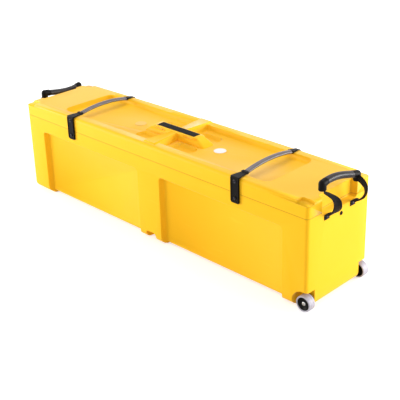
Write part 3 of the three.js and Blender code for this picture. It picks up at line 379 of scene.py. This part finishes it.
outward = {
    "right": Matrix.Rotation(math.radians(90), 4, "Y"),
    "left": Matrix.Rotation(math.radians(-90), 4, "Y"),
    "front": Matrix.Rotation(math.radians(90), 4, "X"),
    "rear": Matrix.Rotation(math.radians(-90), 4, "X"),
}
vent_low, vent_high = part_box("vent_plug")
vent_seat = 695.3 * mm
vent_face = (vent_seat, (vent_low.y + vent_high.y) / 2, (vent_low.z + vent_high.z) / 2)
vent_profile = rounded([
    (0.0, 2.0 * mm), (1.6 * mm, 2.0 * mm), (2.2 * mm, 1.4 * mm), (3.2 * mm, 1.4 * mm),
    (3.8 * mm, 2.4 * mm), (5.0 * mm, 2.4 * mm), (6.5 * mm, 1.2 * mm), (6.5 * mm, 0.0),
    (3.4 * mm, 0.0), (3.4 * mm, -5.6 * mm), (4.0 * mm, -7.0 * mm), (0.0, -7.0 * mm),
], 0.5 * mm)
piece("vent_plug_moulding", turned(vent_profile, vent_face, outward["right"]), black_plastic,
      "case", ["vent_plug"], 30.0)

for side in ("left", "right"):
    for level, body in (("lower", "case"), ("upper", "lid")):
        plate = piece(f"hinge_{side}_{level}_plate", merged(f"hinge_{side}_{level}_tab"), black_plastic,
                      body, [f"hinge_{side}_{level}_tab"])
        soften(plate, 0.7 * mm)

# Steel
# The hinge rivets and wheel bolts are nickel-plated steel; the latch studs, strap eyelets and
# handle rivets are blackened. Each is turned or pressed round, and its head sits on its piece.


def steel_surface(name, light, dark, roughness, line_scale):
    """A plated metal with fine worn lines, a slight drift of tone and dull spots."""
    made, tree, shader = surface(name, roughness, 1.0)
    tone = use(tree, drift, {"Tone A": light, "Tone B": dark, "Scale": 60.0})
    place = add(tree, "ShaderNodeTexCoord").outputs["Object"]
    pulled = add(tree, "ShaderNodeMapping", {"Vector": place, "Scale": (1.0, 1.0, 12.0)}).outputs[0]
    lines = add(tree, "ShaderNodeTexNoise", {"Vector": pulled, "Scale": line_scale, "Detail": 4.0})
    dull = add(tree, "ShaderNodeMapRange", {
        "Value": lines.outputs["Fac"], "To Min": roughness - 0.08, "To Max": roughness + 0.12,
    }).outputs[0]
    dress(tree, shader, tone["Color"], dull, lines.outputs["Fac"], 0.12, 0.05 * mm)
    return made


steel = steel_surface("plated_steel", (0.64, 0.64, 0.63, 1.0), (0.5, 0.5, 0.51, 1.0), 0.3, 900.0)
dark_steel = steel_surface(
    "blackened_steel", (0.05, 0.047, 0.055, 1.0), (0.028, 0.026, 0.03, 1.0), 0.42, 700.0)
rivet_head = 1.8 * mm
stud_head = 8.4 * mm
eyelet_head = 1.8 * mm


def rivet(name, place, way, stack, node, body, metal):
    """A rivet: domed head outside, shank through the stack, and its upset tail inside."""
    profile = rounded([
        (0.0, rivet_head), (2.6 * mm, 1.7 * mm), (4.6 * mm, 1.1 * mm), (5.6 * mm, 0.35 * mm),
        (5.6 * mm, 0.0), (2.2 * mm, 0.0), (2.2 * mm, -stack), (5.0 * mm, -stack),
        (5.0 * mm, -stack - 1.2 * mm), (0.0, -stack - 1.4 * mm),
    ], 0.6 * mm)
    piece(name, turned(profile, place, outward[way]), metal, body, [node], 30.0)


for side in ("left", "right"):
    for level, body in (("lower", "case"), ("upper", "lid")):
        for end in ("a", "b"):
            node = f"hinge_{side}_{level}_rivet_{end}"
            low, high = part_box(node)
            middle = (low + high) / 2
            place = (middle.x, high.y - rivet_head, middle.z)
            rivet(f"{node}_turned", place, "rear", 8.9 * mm, node, body, steel)

stud_profile = rounded([
    (0.0, stud_head), (1.2 * mm, stud_head), (1.9 * mm, 7.7 * mm), (2.8 * mm, 7.7 * mm),
    (3.5 * mm, stud_head), (4.5 * mm, stud_head), (6.0 * mm, 6.9 * mm), (6.0 * mm, 0.0),
    (2.2 * mm, 0.0), (2.2 * mm, -5.6 * mm), (5.6 * mm, -5.6 * mm), (5.6 * mm, -7.0 * mm),
    (0.0, -7.0 * mm),
], 0.6 * mm)
for side in ("left", "right"):
    low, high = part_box(f"latch_stud_{side}")
    middle = (low + high) / 2
    place = (middle.x, low.y + stud_head, middle.z)
    piece(f"latch_stud_{side}_turned", turned(stud_profile, place, outward["front"]), dark_steel,
          "case", [f"latch_stud_{side}"], 30.0)

eyelet_profile = rounded([
    (2.4 * mm, -5.0 * mm), (2.4 * mm, 0.0), (6.5 * mm, 0.0), (6.3 * mm, 0.8 * mm),
    (5.4 * mm, 1.5 * mm), (4.4 * mm, eyelet_head), (3.0 * mm, 1.5 * mm), (1.9 * mm, 0.7 * mm),
    (1.5 * mm, -1.5 * mm), (1.5 * mm, -5.0 * mm),
], 0.4 * mm)
for side in ("left", "right"):
    low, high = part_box(f"strap_{side}_eyelet")
    middle = (low + high) / 2
    place = (middle.x, low.y + eyelet_head, middle.z)
    piece(f"strap_{side}_eyelet_turned", turned(eyelet_profile, place, outward["front"]), dark_steel,
          f"strap_{side}", [f"strap_{side}_eyelet"], 30.0)

# Straps
# Each strap is a band in a clear-coated grey sleeve that arches over the lid. A moulded black
# tab hangs over the front rim on its stud, and a moulded tongue wraps the rear rim to the hinge.
rubber, rubber_shader = plastic(
    "black_rubber",
    (0.0045, 0.0033, 0.0032, 1.0),
    (0.003, 0.0022, 0.0022, 1.0),
    (0.016, 0.0145, 0.0148, 1.0),
    roughness=0.46, grain_scale=1100.0, drift_scale=18.0, bump=0.25, depth=0.1 * mm,
)
rubber_shader.inputs["Specular IOR Level"].default_value = 0.1


def moulded(made, voxel, smooth_steps):
    """One soft skin over a piece's joined blocks, as if it left a mould."""
    skin = made.modifiers.new("skin", "REMESH")
    skin.mode = "VOXEL"
    skin.voxel_size = voxel
    skin.use_smooth_shade = True
    ease = made.modifiers.new("ease", "SMOOTH")
    ease.factor = 0.5
    ease.iterations = smooth_steps


for side in ("left", "right"):
    tab = piece(f"strap_{side}_tab_moulding", merged(f"strap_{side}_front_tab"), rubber,
                f"strap_{side}", [f"strap_{side}_front_tab"])
    moulded(tab, 0.7 * mm, 5)
    tongue = piece(f"strap_{side}_tongue_moulding", merged(f"strap_{side}_rear_end"), rubber,
                   f"strap_{side}", [f"strap_{side}_rear_end"])
    moulded(tongue, 0.5 * mm, 5)


def glossy_tube(name, tone_a, tone_b, coat, specular):
    """A drawn tube's skin: fine die lines along it, rubbed patches, and a clear coat."""
    made, tree, shader = surface(name, 0.3)
    tone = use(tree, drift, {"Tone A": tone_a, "Tone B": tone_b, "Scale": 26.0})
    place = add(tree, "ShaderNodeTexCoord").outputs["Object"]
    drawn = add(tree, "ShaderNodeMapping", {"Vector": place, "Scale": (9.0, 1.0, 9.0)}).outputs[0]
    lines = add(tree, "ShaderNodeTexNoise", {
        "Vector": drawn, "Scale": 90.0, "Detail": 3.0}).outputs["Fac"]
    rub = use(tree, scuffs, {"Scale": 30.0, "Amount": 0.8})["Mask"]
    colour = add(tree, "ShaderNodeMix", {
        0: rub, 6: tone["Color"], 7: (0.17, 0.15, 0.155, 1.0)}, data_type="RGBA").outputs[2]
    matt = add(tree, "ShaderNodeMapRange", {"Value": lines, "To Min": 0.26, "To Max": 0.44}).outputs[0]
    dress(tree, shader, colour, matt, lines, 0.2, 0.2 * mm)
    shader.inputs["Specular IOR Level"].default_value = specular
    shader.inputs["Coat Weight"].default_value = coat
    shader.inputs["Coat Roughness"].default_value = 0.22
    return made


sleeve_skin = glossy_tube(
    "grey_sleeve", (0.095, 0.074, 0.08, 1.0), (0.06, 0.047, 0.052, 1.0), coat=0.4, specular=0.45)
grip_skin = glossy_tube(
    "grey_grip", (0.036, 0.031, 0.033, 1.0), (0.021, 0.018, 0.02, 1.0), coat=0.13, specular=0.14)


def swept(rings, hollow=False):
    """A shape drawn out ring by ring, with a metric UV map: across the ring and along the way."""
    shape = bmesh.new()
    layer = shape.loops.layers.uv.new("thread")
    ring = [shape.verts.new(point) for point in rings[0]]
    count = len(ring)
    first = [shape.edges.new((ring[i], ring[(i + 1) % count])) for i in range(count)]
    around = [0.0]
    for i in range(count):
        around.append(around[-1] + (rings[0][(i + 1) % count] - rings[0][i]).length)
    marks = {vertex: (i, 0.0) for i, vertex in enumerate(ring)}
    edges, along = first, 0.0
    for a, b in zip(rings, rings[1:]):
        drawn_out = bmesh.ops.extrude_edge_only(shape, edges=edges)["geom"]
        fresh = {v for v in drawn_out if isinstance(v, bmesh.types.BMVert)}
        edges = [e for e in drawn_out if isinstance(e, bmesh.types.BMEdge)]
        along += sum((q - p).length for p, q in zip(a, b)) / count
        following = [
            next(e.other_vert(v) for e in v.link_edges if e.other_vert(v) in fresh) for v in ring]
        for i, vertex in enumerate(following):
            vertex.co = b[i]
            marks[vertex] = (i, along)
        ring = following
    for face in shape.faces:
        wraps = {marks[v][0] for v in face.verts} == {0, count - 1}
        for loop in face.loops:
            i, far = marks[loop.vert]
            loop[layer].uv = (around[count if wraps and i == 0 else i], far)
    if hollow:
        bmesh.ops.bridge_loops(shape, edges=first + edges)
    else:
        bmesh.ops.contextual_create(shape, geom=first)
        bmesh.ops.contextual_create(shape, geom=edges)
    bmesh.ops.recalc_face_normals(shape, faces=shape.faces)
    return shape


def oval(across, up, segments):
    """Points of an oval as (across, up) pairs."""
    return [
        (across * math.cos(2 * math.pi * i / segments), up * math.sin(2 * math.pi * i / segments))
        for i in range(segments)
    ]


half_up, half_across, wall, lip_round = 6.5 * mm, 10.0 * mm, 2.4 * mm, 0.5 * mm
ring_points, sleeve_steps = 40, 64
for side in ("left", "right"):
    low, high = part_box(f"strap_{side}_sleeve")
    centre_x = (low.x + high.x) / 2
    arch = high.z - low.z - 2 * half_up

    def sleeve_ring(share, across, up):
        """Ring of the arched sleeve at a share of its way from front to rear."""
        reach = 2 * share - 1
        y = low.y + (high.y - low.y) * share
        z = low.z + half_up + arch * (1 - reach ** 2)
        return [Vector((centre_x + a, y, z + u)) for a, u in oval(across, up, ring_points)]

    lip_share = 0.004
    middles = [i / sleeve_steps for i in range(1, sleeve_steps)]
    shares = [0.0, lip_share] + middles + [1 - lip_share, 1.0]
    outer = []
    for s in shares:
        lip = lip_round if s in (0.0, 1.0) else 0.0
        outer.append(sleeve_ring(s, half_across - lip, half_up - lip))
    inner = [sleeve_ring(s, half_across - wall, half_up - wall) for s in reversed(shares)]
    piece(f"strap_{side}_sleeve_tube", swept(outer + inner, hollow=True), sleeve_skin,
          f"strap_{side}", [f"strap_{side}_sleeve"], 60.0)

# Webbing
# The handles' legs are woven polyester webbing, 25 mm wide: each is riveted flat to the end
# face, folds out, bulges away from it and turns about its length up into the grip's collar.
# A narrower band of the same weave runs inside each strap's sleeve.
webbing, webbing_tree, webbing_shader = surface("black_webbing", 0.75)

# Weave: the ribs of a flat woven band from its own map, as a height and a mask of the threads
weave, weave_in, weave_out = group(
    "weave",
    {"Across": ("NodeSocketFloat", 900.0), "Along": ("NodeSocketFloat", 700.0)},
    {"Height": "NodeSocketFloat", "Mask": "NodeSocketFloat"},
)
thread_map = add(weave, "ShaderNodeUVMap", uv_map="thread").outputs["UV"]
thread_axes = add(weave, "ShaderNodeSeparateXYZ", {0: thread_map}).outputs
warp_turn = add(weave, "ShaderNodeMath", {0: thread_axes["X"], 1: weave_in["Across"]},
                operation="MULTIPLY")
weft_turn = add(weave, "ShaderNodeMath", {0: thread_axes["Y"], 1: weave_in["Along"]},
                operation="MULTIPLY")
half_step = add(weave, "ShaderNodeMath", {0: warp_turn.outputs[0], 1: math.pi}, operation="DIVIDE")
row = add(weave, "ShaderNodeMath", {0: half_step.outputs[0]}, operation="FLOOR")
row_shift = add(weave, "ShaderNodeMath", {0: row.outputs[0], 1: math.pi, 2: weft_turn.outputs[0]},
                operation="MULTIPLY_ADD")
warp = add(weave, "ShaderNodeMath", {0: warp_turn.outputs[0]}, operation="SINE")
warp_size = add(weave, "ShaderNodeMath", {0: warp.outputs[0]}, operation="ABSOLUTE")
weft = add(weave, "ShaderNodeMath", {0: row_shift.outputs[0]}, operation="SINE")
weft_lift = add(weave, "ShaderNodeMapRange", {
    "Value": weft.outputs[0], "From Min": -1.0, "To Min": 0.35})
threads = add(weave, "ShaderNodeMath", {0: warp_size.outputs[0], 1: weft_lift.outputs[0]},
              operation="MULTIPLY")
weave.links.new(threads.outputs[0], weave_out["Height"])
weave.links.new(threads.outputs[0], weave_out["Mask"])

web_threads = use(webbing_tree, weave, {"Across": 2600.0, "Along": 1900.0})
web_tone = use(webbing_tree, drift, {
    "Tone A": (0.0075, 0.0068, 0.0085, 1.0), "Tone B": (0.0045, 0.004, 0.0048, 1.0), "Scale": 40.0})
# Painted shade and highlight: the hollows between the threads take a darker tone and the raised thread
# tops a lighter one, by the weave's height
web_gap_shade = add(webbing_tree, "ShaderNodeMix", {
    0: web_threads["Mask"], 6: (0.002, 0.002, 0.0022, 1.0), 7: web_tone["Color"],
}, data_type="RGBA").outputs[2]
web_fuzz = use(webbing_tree, scuffs, {"Scale": 60.0, "Amount": 0.7})["Mask"]
web_colour = add(webbing_tree, "ShaderNodeMix", {
    0: web_fuzz, 6: web_gap_shade, 7: (0.02, 0.019, 0.021, 1.0)}, data_type="RGBA").outputs[2]
web_matt = add(webbing_tree, "ShaderNodeMapRange", {
    "Value": web_threads["Mask"], "To Min": 0.9, "To Max": 0.62}).outputs[0]
dress(webbing_tree, webbing_shader, web_colour, web_matt, web_threads["Height"], 0.6, 0.5 * mm)
webbing_shader.inputs["Sheen Weight"].default_value = 0.06
webbing_shader.inputs["Specular IOR Level"].default_value = 0.12
webbing_shader.inputs["Sheen Roughness"].default_value = 0.5


def band_outline(width, thickness, across_steps=10, edge_steps=4):
    """Outline of a flat band with rounded selvedges, as (across, up) pairs."""
    half, up = width / 2 - thickness / 2, thickness / 2
    points = [(half * (1 - 2 * i / across_steps), up) for i in range(across_steps + 1)]
    for i in range(1, edge_steps):
        turn = math.pi * i / edge_steps
        points.append((-half - up * math.sin(turn), up * math.cos(turn)))
    points += [(-a, -u) for a, u in points]
    return points


def smooth_way(points, step):
    """Places along a smooth line through points of any size, about a step apart."""
    vectors = [Vector(p) for p in points]
    ends = [2 * vectors[0] - vectors[1]] + vectors + [2 * vectors[-1] - vectors[-2]]
    out = []
    for a, b, c, d in zip(ends, ends[1:], ends[2:], ends[3:]):
        count = max(1, round((c.to_3d() - b.to_3d()).length / step))
        for i in range(count):
            t = i / count
            out.append(0.5 * (2 * b + (c - a) * t + (2 * a - 5 * b + 4 * c - d) * t * t
                              + (3 * b - a - 3 * c + d) * t ** 3))
    out.append(vectors[-1])
    return out


def web_rings(stations, width, thickness):
    """Rings of a flat band through stations of a centre and a turn of its width about Z."""
    rings = []
    for k, station in enumerate(stations):
        before = stations[max(k - 1, 0)].to_3d()
        after = stations[min(k + 1, len(stations) - 1)].to_3d()
        along = (after - before).normalized()
        level = Vector((-math.sin(station[3]), math.cos(station[3]), 0.0))
        across = (level - along * level.dot(along)).normalized()
        normal = along.cross(across)
        rings.append([
            station.to_3d() + across * a + normal * u for a, u in band_outline(width, thickness)
        ])
    return rings


band_width, band_thick, band_steps = 13.0 * mm, 3.0 * mm, 60
for side in ("left", "right"):
    low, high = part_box(f"strap_{side}_webbing")
    centre_x = (low.x + high.x) / 2
    arch = high.z - low.z - band_thick
    rings = []
    for i in range(band_steps + 1):
        reach = 2 * i / band_steps - 1
        y = low.y + (high.y - low.y) * i / band_steps
        z = low.z + band_thick / 2 + arch * (1 - reach ** 2)
        rings.append([
            Vector((centre_x + a, y, z + u)) for a, u in band_outline(band_width, band_thick)])
    piece(f"strap_{side}_inner_band", swept(rings), webbing, f"strap_{side}",
          [f"strap_{side}_webbing"], 60.0)

# Routes in mm: the foot's are (out from the end face, up), and a leg's are (out, along the face,
# up, turn of its width in degrees). The left end's are written as if for the right end, and are
# turned half round Z.
end_x, shift_y = 695.0 * mm, 1.65 * mm
leg_width, leg_thick, leg_step = 25.0 * mm, 2.4 * mm, 1.6 * mm
foot_route = [(1.5, 288.0), (1.5, 294.0), (1.5, 299.8), (2.3, 304.6), (6.3, 307.7), (12.0, 308.5)]
leg_routes = {
    ("right", "front"): (1, -64.5, [
        (18.0, -64.5, 308.5, 0), (36.7, -69.2, 327.2, 26), (51.3, -80.9, 349.7, 42),
        (56.4, -91.8, 370.3, 26), (48.0, -96.5, 383.5, 0), (31.8, -99.6, 390.0, -28),
        (18.9, -102.7, 394.7, -45), (15.6, -103.5, 398.9, -50), (15.5, -103.5, 402.2, -50)]),
    ("right", "rear"): (1, 64.5, [
        (18.0, 64.5, 308.5, 0), (33.8, 63.2, 322.0, 22), (46.1, 59.9, 338.3, 42),
        (51.0, 57.3, 355.5, 60), (48.0, 56.0, 370.0, 80), (39.5, 55.0, 380.5, 88),
        (29.0, 54.2, 387.0, 90), (20.0, 53.8, 390.5, 90), (15.5, 53.5, 392.5, 90)]),
    ("left", "rear"): (-1, -64.5, [
        (18.0, -64.5, 308.5, 0), (36.7, -69.7, 315.3, 0), (51.3, -82.6, 323.5, 2),
        (56.4, -94.6, 330.9, 9), (48.0, -99.8, 335.7, 20), (31.8, -103.2, 338.1, 32),
        (18.9, -106.6, 339.8, 40), (15.6, -107.5, 341.3, 45), (15.5, -107.5, 342.5, 45)]),
    ("left", "front"): (-1, 64.5, [
        (18.0, 64.5, 308.5, 0), (33.8, 62.7, 317.2, 16), (46.1, 58.2, 327.6, 36),
        (50.4, 54.0, 337.1, 45), (43.2, 52.2, 343.2, 50), (29.4, 51.0, 346.3, 62),
        (18.4, 49.8, 348.4, 76), (15.6, 49.5, 350.4, 85), (15.5, 49.5, 351.9, 85)]),
}
for (side, end), (sign, anchor_y, leg) in leg_routes.items():
    turn_way = 1 if anchor_y > 0 else -1
    whole = [(x, anchor_y, z, 0) for x, z in foot_route] + [
        (x, y, z, turn_way * turn) for x, y, z, turn in leg]
    points = [
        Vector((sign * (end_x + x * mm), sign * y * mm + shift_y, z * mm, math.radians(turn)))
        for x, y, z, turn in whole
    ]
    if sign < 0:
        for point in points:
            point[3] += math.pi
    leg_shape = swept(web_rings(smooth_way(points, leg_step), leg_width, leg_thick))
    leg_piece = formed(f"handle_{side}_{end}_leg", leg_shape, webbing, 60.0)
    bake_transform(leg_piece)
    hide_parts(f"handle_{side}_{end}_foot", f"handle_{side}_{end}_webbing")

for side in ("left", "right"):
    for end in ("front", "rear"):
        node = f"handle_{side}_{end}_rivet"
        low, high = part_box(node)
        middle = (low + high) / 2
        face_x = high.x - rivet_head if side == "right" else low.x + rivet_head
        place = (face_x, middle.y, middle.z)
        rivet(f"{node}_turned", place, side, 7.7 * mm, node, "case", dark_steel)

# Grips
# A grip is a length of dark grey tube with a moulded rubber collar at each end, which covers
# the webbing's turn. The right one bows up in the middle, the left one down, and both tilt.
# The numbers of each are in mm, with its rise above the rivets of its feet.
grips = {
    "right": {"sign": 1, "rise": 116.0, "tilt": 13.0, "arch": 11.2, "sway": -25.0},
    "left": {"sign": -1, "rise": 74.0, "tilt": -4.7, "arch": -9.4, "sway": -29.0},
}
anchor_height, grip_span = 294.0, 170.0
grip_ring, grip_steps = oval(11.5 * mm, 11.5 * mm, ring_points), 56
for side, grip in grips.items():
    low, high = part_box(f"handle_{side}_grip")
    centre_x = (low.x + high.x) / 2
    rings = []
    for i in range(grip_steps + 1):
        y = low.y + (high.y - low.y) * i / grip_steps
        own_y = grip["sign"] * (y - shift_y) / mm
        share = (own_y - grip["sway"]) / (grip_span / 2)
        height = anchor_height + grip["rise"] - grip["tilt"] * share
        height += grip["arch"] * (1 - share ** 2) * (1 - share / 2)
        rings.append([Vector((centre_x + a, y, height * mm + u)) for a, u in grip_ring])
    piece(f"handle_{side}_grip_tube", swept(rings), grip_skin, f"handle_{side}",
          [f"handle_{side}_grip"], 60.0)
    for end in ("front", "rear"):
        collar = piece(f"handle_{side}_{end}_collar_moulding", merged(f"handle_{side}_{end}_collar"),
                       rubber, f"handle_{side}", [f"handle_{side}_{end}_collar"])
        moulded(collar, 0.6 * mm, 8)

# Lid trim
# A long black vinyl plate lies on the hand grip and two round stickers on the lid's dish: a white
# one at the right, and at the left a clear one with the lid's yellow behind it. All are blank.
label, label_shader = plastic(
    "black_vinyl",
    (0.007, 0.0065, 0.006, 1.0),
    (0.005, 0.0048, 0.0045, 1.0),
    (0.02, 0.02, 0.019, 1.0),
    roughness=0.5, grain_scale=500.0, drift_scale=10.0, bump=0.06, depth=0.1 * mm,
)
label_shader.inputs["Specular IOR Level"].default_value = 0.04
plate = piece("lid_label_vinyl", merged("lid_label_plate"), label, "lid",
              ["lid_label_plate"])
soften(plate, 0.5 * mm)
white_sticker, _ = plastic(
    "white_sticker",
    (0.86, 0.86, 0.845, 1.0),
    (0.80, 0.80, 0.78, 1.0),
    (0.72, 0.70, 0.64, 1.0),
    roughness=0.34, grain_scale=450.0, drift_scale=16.0, bump=0.05, depth=0.08 * mm,
)
clear_sticker, _ = plastic(
    "clear_sticker",
    (0.88, 0.52, 0.042, 1.0),
    (0.80, 0.465, 0.032, 1.0),
    (0.93, 0.62, 0.11, 1.0),
    roughness=0.34, grain_scale=450.0, drift_scale=16.0, bump=0.05, depth=0.08 * mm,
)
badge_profile = rounded([
    (0.0, 1.0 * mm), (20.1 * mm, 1.0 * mm), (20.4 * mm, 0.85 * mm), (21.0 * mm, 0.85 * mm),
    (21.5 * mm, 0.5 * mm), (21.5 * mm, 0.0), (0.0, 0.0),
], 0.3 * mm)
for side, sticker in (("left", clear_sticker), ("right", white_sticker)):
    low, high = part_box(f"lid_badge_{side}")
    middle = (low + high) / 2
    place = (middle.x, middle.y, low.z)
    piece(f"lid_badge_{side}_sticker", turned(badge_profile, place, Matrix.Identity(4), 96), sticker,
          "lid", [f"lid_badge_{side}"], 30.0)

# Wheels
# Two fixed wheels sit in wells at the foot of the right end: a grey polyurethane tread on a black
# dished hub, on a steel bolt with a domed head, a plastic spacer and a nut inside the tub.
tread, _ = plastic(
    "grey_tread",
    (0.50, 0.48, 0.56, 1.0),
    (0.43, 0.415, 0.48, 1.0),
    (0.30, 0.28, 0.28, 1.0),
    roughness=0.46, grain_scale=1000.0, drift_scale=22.0, bump=0.2, depth=0.12 * mm,
)
tyre_profile = [
    (22.0, -12.6), (24.0, -14.0), (25.6, -13.7), (26.6, -12.5), (27.0, -11.0), (27.0, -6.0),
    (26.5, -5.8), (26.5, -5.0), (27.0, -4.8), (27.0, 4.8), (26.5, 5.0), (26.5, 5.8), (27.0, 6.0),
    (27.0, 11.0), (26.6, 12.5), (25.6, 13.7), (24.0, 14.0), (22.0, 12.6),
]
hub_profile = [
    (4.3, -8.5), (8.8, -8.5), (9.5, -8.7), (10.2, -9.2), (15.2, -10.3), (16.0, -10.7),
    (16.7, -11.5), (19.6, -12.5), (20.8, -12.3), (21.5, -11.6), (21.7, -10.8), (21.7, 12.0),
    (21.2, 12.5), (10.0, 12.5), (4.3, 12.5),
]
bolt_profile = [
    (0.0, -11.8), (2.2, -11.8), (2.6, -11.2), (3.2, -11.4), (4.8, -11.2), (6.0, -10.5),
    (6.6, -9.6), (6.6, -8.8), (4.0, -8.8), (4.0, 39.2), (3.4, 39.8), (0.0, 39.8),
]
for side in ("front", "rear"):
    low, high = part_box(f"wheel_{side}_tyre")
    middle = (low + high) / 2
    flip = outward[side] @ Matrix.Scale(-1, 4, (0, 0, 1))
    for part, profile, material, body, slot in (
        ("tyre", tyre_profile, tread, f"wheel_{side}", "tyre_grey"),
        ("hub", hub_profile, black_plastic, f"wheel_{side}", "black_plastic"),
        ("axle_bolt", bolt_profile, steel, "case", "steel"),
    ):
        shape = turned([(r * mm, h * mm) for r, h in profile], middle, flip, 72)
        piece(f"wheel_{side}_{part}_turned", shape, material, body,
              [f"wheel_{side}_{part}"], 30.0)
    for part, material in (("spacer", black_plastic), ("axle_nut", steel)):
        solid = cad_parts[f"wheel_{side}_{part}"]
        solid.data.materials.clear()
        solid.data.materials.append(material)
